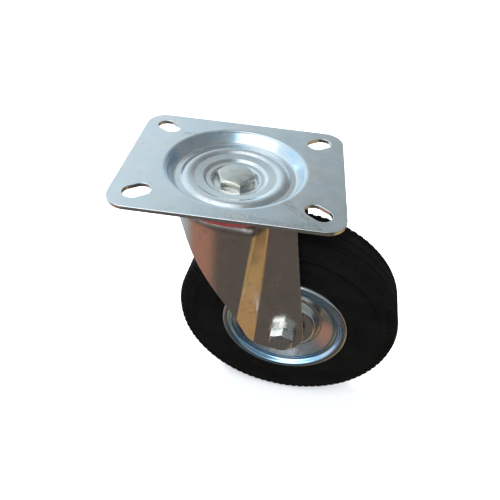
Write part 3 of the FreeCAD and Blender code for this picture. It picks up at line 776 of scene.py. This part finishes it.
def fork_plan(half_width, ramp, inset):
    """Plan of the fork's outer face, or of a face this far inside it."""
    lean = math.atan2(half_width - LEG_OUTER, ramp[1] - ramp[0])
    back_off = inset * math.tan(lean / 2)
    front = half_width - inset
    side = LEG_OUTER - inset
    near = [(-front, -front, front * NOSE_SHARE),
            (ramp[0] - back_off, -front, RAMP_ROUND - inset),
            (ramp[1] - back_off, -side, RAMP_ROUND + inset), (PLAN_BEHIND, -side, 0)]
    return rounded(near + [(x, -y, r) for x, y, r in near[::-1]], PLAN_STEPS)


def fork_block(inset):
    """The fork's outer form as a solid, or with an inset the hollow inside its sheet."""
    top = CROWN_LEVEL - inset
    shoulder = CROWN_SHOULDER - inset
    rings = [(PLAN_LOW_LEVEL, fork_plan(LEG_LOW_HALF, RAMP_LOW, inset)),
             (CROWN_LEVEL - CROWN_BAND, fork_plan(CROWN_RADIUS, RAMP_HIGH, inset))]
    for k in range(SHOULDER_STEPS + 1):
        a = math.pi / 2 * k / SHOULDER_STEPS
        rings.append((top - shoulder * (1 - math.sin(a)),
                      fork_plan(CROWN_RADIUS, RAMP_HIGH, inset + shoulder * (1 - math.cos(a)))))
    outlines = []
    for level, outline in rings:
        points = [Vector((p.x, p.y, level)) for p in outline]
        outlines.append(draw("fork", points + points[:1]))
        bpy.ops.mesh.select_all(action="SELECT")
        bpy.ops.mesh.remove_doubles(threshold=WELD * MM)
        bpy.ops.object.mode_set(mode="OBJECT")
    only(*outlines)
    bpy.ops.object.join()
    bpy.ops.object.mode_set(mode="EDIT")
    levels = [level * MM for level, _ in rings]

    def at(*chosen):
        """Test for edges that lie at one of these levels."""
        return lambda e: any(all(abs(v.co.z - z) < 2.5 * WELD * MM for v in e.verts) for z in chosen)

    for i, (low, high) in enumerate(zip(levels, levels[1:])):
        pick("EDGE", at(low, high))
        cuts = LEG_CUTS if i == 0 else 0
        bpy.ops.mesh.bridge_edge_loops(number_cuts=cuts, interpolation="LINEAR")
    for level in (levels[0], levels[-1]):
        pick("EDGE", at(level))
        bpy.ops.mesh.edge_face_add()
    tidy_skin()
    return outlines[0]


fork = fork_block(0)
carve(fork, fork_block(FORK_SHEET))
side = draw("side", [Vector((p.x, -SIDE_REACH, p.y)) for p in rounded(LEG_SIDE)])
bpy.ops.mesh.select_all(action="SELECT")
bpy.ops.mesh.edge_face_add()
bpy.ops.mesh.extrude_region_move(TRANSFORM_OT_translate={"value": (0, 2 * SIDE_REACH * MM, 0)})
tidy_skin()
carve(fork, side, "INTERSECT")
carve(fork, rod(RACE_EDGE, CROWN_LEVEL - 2 * FORK_SHEET, CROWN_LEVEL + FORK_SHEET))
drill = rod(AXLE_HOLE, -SIDE_REACH, SIDE_REACH, HOLE_STEPS)
drill.rotation_euler.x = math.radians(90)
drill.location = Vector(AXLE_OFFSET) * MM
settle(drill)
carve(fork, drill)
carve(fork, spun("races", sheet_section(CROWN_RACES, FORK_SHEET)), "UNION")
fork.name = fork.data.name = "fork_pressing"
fork.rotation_euler.z = REST_SWIVEL
settle(fork)
soften(fork, FORK_EDGE)
fork_zinc = plated(
    "fork_zinc", colour=(0.80, 0.77, 0.70, 1), second=(0.84, 0.76, 0.72, 1), stain=(0.46, 0.42, 0.38, 1),
    stains=0.4, roughness=0.2, worn=0.5, dusty=0.03, ripple=0.016)
# Painted shade: the shoulder under the seal, in the plate's shade, is darkened and made duller.
SHOULDER_SHADE = (0.13, 0.105, 0.09, 1)
SHOULDER_SHADE_ROUGHNESS = 0.5
SHOULDER_SHADE_LEVELS = (-19.0 * MM, -14.2 * MM)
SHOULDER_SHADE_SIZE = 4
tree = fork_zinc.node_tree
shader = tree.nodes["Principled BSDF"]
level = add(tree, "ShaderNodeSeparateXYZ")
tree.links.new(add(tree, "ShaderNodeTexCoord").outputs["Object"], level.inputs[0])
high_up = ranged(tree, level.outputs["Z"], *SHOULDER_SHADE_LEVELS)
shoulder_shade = times(tree, high_up, ranged(tree, noise(tree, SHOULDER_SHADE_SIZE, 4), 0.25, 0.6, 0.62, 0.9))
overlaid(tree, shader.inputs["Base Color"], shoulder_shade, SHOULDER_SHADE)
overlaid(tree, shader.inputs["Roughness"], shoulder_shade, SHOULDER_SHADE_ROUGHNESS, "FLOAT")
finish(fork_zinc, fork)
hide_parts("fork")
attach(fork, "fork")


# ---- Dust seal ----
# A moulded ring of red plastic pressed over the crown, that keeps grit out of the upper
# balls and runs just clear of the plate.
# Radius, level, corner radius
SEAL_SECTION = [
    (27.34, -12.55, 0), (32.14, -12.55, 0.5), (32.14, -8.2, 1.2), (30.2, -8.2, 0.6),
    (29.7, -8.9, 0.5), (28.9, -8.9, 0.5), (28.4, -8.2, 0.5), (27.34, -8.2, 0.3),
]
SHADE_SIZE = 12
SKIN_SIZE = 1.2
SKIN_SPREAD = 0.12
GRAIN_SIZE = 0.45
CAKED_ROUGHNESS = 0.9

section = rounded(SEAL_SECTION)
seal = spun("dust_seal", section + section[:1])
soften(seal, 0)


def moulded(name, colour, second, roughness, dusty, grain):
    """Moulded plastic or rubber: a slight shift of colour, dust and a grain this deep."""
    material, shader, tree = fresh(name)
    settled = use(tree, dust, Amount=dusty).outputs["Mask"]
    shades = ranged(tree, noise(tree, SHADE_SIZE, 4), 0.35, 0.65)
    shaded = mixed(tree, shades, colour, second)
    tree.links.new(mixed(tree, settled, shaded, DUST_COLOUR), shader.inputs["Base Color"])
    skin = ranged(tree, noise(tree, SKIN_SIZE, 3), 0.3, 0.7,
                  roughness * (1 - SKIN_SPREAD), roughness * (1 + SKIN_SPREAD))
    tree.links.new(mixed(tree, settled, skin, CAKED_ROUGHNESS, "FLOAT"), shader.inputs["Roughness"])
    raised(tree, shader, noise(tree, GRAIN_SIZE, 3), grain)
    return material


seal_red = moulded("seal_red", colour=(0.24, 0.018, 0.015, 1), second=(0.19, 0.014, 0.013, 1),
                   roughness=0.45, dusty=0.12, grain=0.02)
finish(seal_red, seal)
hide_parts("dust_seal_ring")
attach(seal, "fork")


# ---- Axle bolt ----
# An M8 steel bolt through both legs and the bush, zinc plated, its head on the near
# side and its thread in the lock nut on the far side.
AXLE_RADIUS = 4.0
AXLE_FLATS = 13.0
AXLE_HEAD = 5.3
AXLE_PITCH = 1.25
AXLE_STACK = 22.5
AXLE_LENGTH = 54.2


def lay_on_axle(piece, offset, outward):
    """Lays a piece made about Z on the axle; its top points to the far side for outward +1."""
    piece.rotation_euler.x = math.radians(-90 * outward)
    piece.location = (Vector(AXLE_OFFSET) + Vector((0, offset, 0))) * MM
    settle(piece)
    piece.rotation_euler.z = REST_SWIVEL
    settle(piece)


axle = threaded_bolt("axle_pin", AXLE_RADIUS, AXLE_FLATS, AXLE_HEAD, AXLE_LENGTH, AXLE_PITCH)
axle.rotation_euler.z = HEX_TURN
settle(axle)
lay_on_axle(axle, -AXLE_STACK, -1)
soften(axle, 0)
finish(bolt_zinc, axle)
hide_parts("axle_bolt")
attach(axle, "fork")


# ---- Axle washers and lock nut ----
# A washer under the bolt head and one under an M8 lock nut, zinc plated, with the
# nut's ring of white nylon that grips the thread.
nylon = moulded("nylon", colour=(0.66, 0.63, 0.54, 1), second=(0.58, 0.54, 0.44, 1),
                roughness=0.42, dusty=0.35, grain=0.01)
finish(bolt_zinc, "axle_washers", "axle_nut")
finish(nylon, "axle_nut_insert")


# ---- Wheel bearing ----
# A bush clamped between the legs carries caged steel rollers inside a drawn hub tube,
# with a thrust washer at each end, all greased.
finish(bearing_steel, "axle_bush", "bearing_rollers", "hub_tube")
finish(bolt_zinc, "thrust_washers")
cage_nylon = moulded("cage_nylon", colour=(0.05, 0.05, 0.05, 1), second=(0.035, 0.035, 0.037, 1),
                     roughness=0.4, dusty=0.1, grain=0.01)
finish(cage_nylon, "roller_cage")


# ---- Rim discs ----
# Two discs pressed from 1.4 mm steel, with a dished face round the hub, a gutter and a
# bead rolled over the edge of the tyre. Zinc plated and passivated blue like the plate.
RIM_SHEET = 1.4
# The outer face of a disc, from the hub outwards: radius, offset, corner radius
RIM_SECTION = [
    (12.5, 15.0, 0), (17.6, 15.0, 2.4), (20.6, 10.8, 1.6), (28.8, 14.9, 1.5), (31.3, 14.2, 1.6),
    (32.9, 17.0, 1.7), (36.5, 17.0, 1.7), (36.5, 14.0, 0),
]
RIM_EDGE = 0.2
RIM_SHARPEST = 60

near_disc = spun("near_rim", sheet_section(RIM_SECTION, -RIM_SHEET))
soften(near_disc, RIM_EDGE, RIM_SHARPEST)
far_disc = near_disc.copy()
far_disc.data = near_disc.data.copy()
far_disc.name = far_disc.data.name = "far_rim"
bpy.context.scene.collection.objects.link(far_disc)
lay_on_axle(near_disc, 0, -1)
lay_on_axle(far_disc, 0, 1)
rim_zinc = plated(
    "rim_zinc", colour=(0.74, 0.80, 0.86, 1), second=(0.80, 0.80, 0.76, 1), stain=(0.46, 0.46, 0.46, 1),
    stains=0.35, roughness=0.17, worn=0.5, dusty=0.06, ripple=0.014)
# Painted reflection: the deep blue in the gutter stands for a blue sky mirrored there.
GUTTER_BLUE_REFLECTION = (0.40, 0.66, 0.90, 1)
GUTTER_REFLECTION_RADII = (27.8, 35.2, 1.2)
GUTTER_REFLECTION_PATCH_SIZE = 18
tree = rim_zinc.node_tree
axle_place = Matrix.Rotation(REST_SWIVEL, 3, "Z") @ Vector(AXLE_OFFSET) * MM
blue_reflection = ring_mask(tree, axle_place, REST_SWIVEL, (1, 0, 1), *GUTTER_REFLECTION_RADII)
uneven = ranged(tree, noise(tree, GUTTER_REFLECTION_PATCH_SIZE, 2), 0.35, 0.6, 0.5, 1.0)
shader = tree.nodes["Principled BSDF"]
overlaid(tree, shader.inputs["Base Color"], times(tree, blue_reflection, uneven), GUTTER_BLUE_REFLECTION)
finish(rim_zinc, near_disc, far_disc)
for disc, node in ((near_disc, "rim_disc_near"), (far_disc, "rim_disc_far")):
    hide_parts(node)
    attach(disc, "wheel")


# ---- Tyre ----
# Solid black rubber moulded in one piece and gripped between the discs, with two
# raised rings on each wall, fine ribs round the shoulders and three grooves in the tread.
TYRE_STEPS = 180
# Half the tyre, from the rim to the middle of the tread: radius, offset, corner radius
TYRE_HALF = [
    (27.0, 12.6, 0), (28.8, 13.6, 0), (31.3, 13.1, 0), (33.2, 16.0, 0), (35.8, 16.0, 0),
    (35.8, 14.0, 0), (37.0, 15.5, 0.8), (41.5, 16.05, 4), (42.2, 16.45, 0.25),
    (43.4, 16.5, 0.25), (44.0, 16.15, 0.25), (53.0, 16.0, 8), (53.5, 16.2, 0.25),
    (55.0, 16.05, 0.25), (55.4, 15.7, 0.25), (58.3, 15.2, 3), (63.6, 12.3, 5.2),
    (63.7, 10.6, 0), (63.7, 8.0, 0), (63.1, 7.8, 0), (63.1, 7.0, 0), (63.7, 6.8, 0),
    (63.7, 0.5, 0), (63.1, 0.3, 0),
]
RIB_BAND = (58.2, 62.4)
RIB_DEPTH = 0.35
RIB_LEAST_OFFSET = 6
RUBBER_GLOSS = 0.04
half = rounded(TYRE_HALF)
section = half + [Vector((p.x, -p.y)) for p in half[::-1]]
tyre = spun("rubber_tyre", section + section[:1], TYRE_STEPS)
only(tyre)
bpy.ops.object.mode_set(mode="EDIT")


def rib_gap(face):
    """Every other strip of the skin where a shoulder turns into the tread."""
    middle = face.calc_center_median() / MM
    strip = math.floor((math.atan2(middle.y, middle.x) / (2 * math.pi) + 1) * TYRE_STEPS)
    in_band = RIB_BAND[0] < middle.xy.length < RIB_BAND[1] and abs(middle.z) > RIB_LEAST_OFFSET
    return strip % 2 == 0 and in_band


pick("FACE", rib_gap)
bpy.ops.mesh.extrude_region_shrink_fatten(TRANSFORM_OT_shrink_fatten={"value": -RIB_DEPTH * MM})
bpy.ops.object.mode_set(mode="OBJECT")
lay_on_axle(tyre, 0, 1)
soften(tyre, 0)
tyre_rubber = moulded(
    "tyre_rubber", colour=(0.0028, 0.0028, 0.0027, 1), second=(0.0042, 0.004, 0.0038, 1),
    roughness=0.62, dusty=0.005, grain=0.03)
shader = tyre_rubber.node_tree.nodes["Principled BSDF"]
shader.inputs["Specular IOR Level"].default_value = RUBBER_GLOSS
finish(tyre_rubber, tyre)
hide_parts("tyre")
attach(tyre, "wheel")
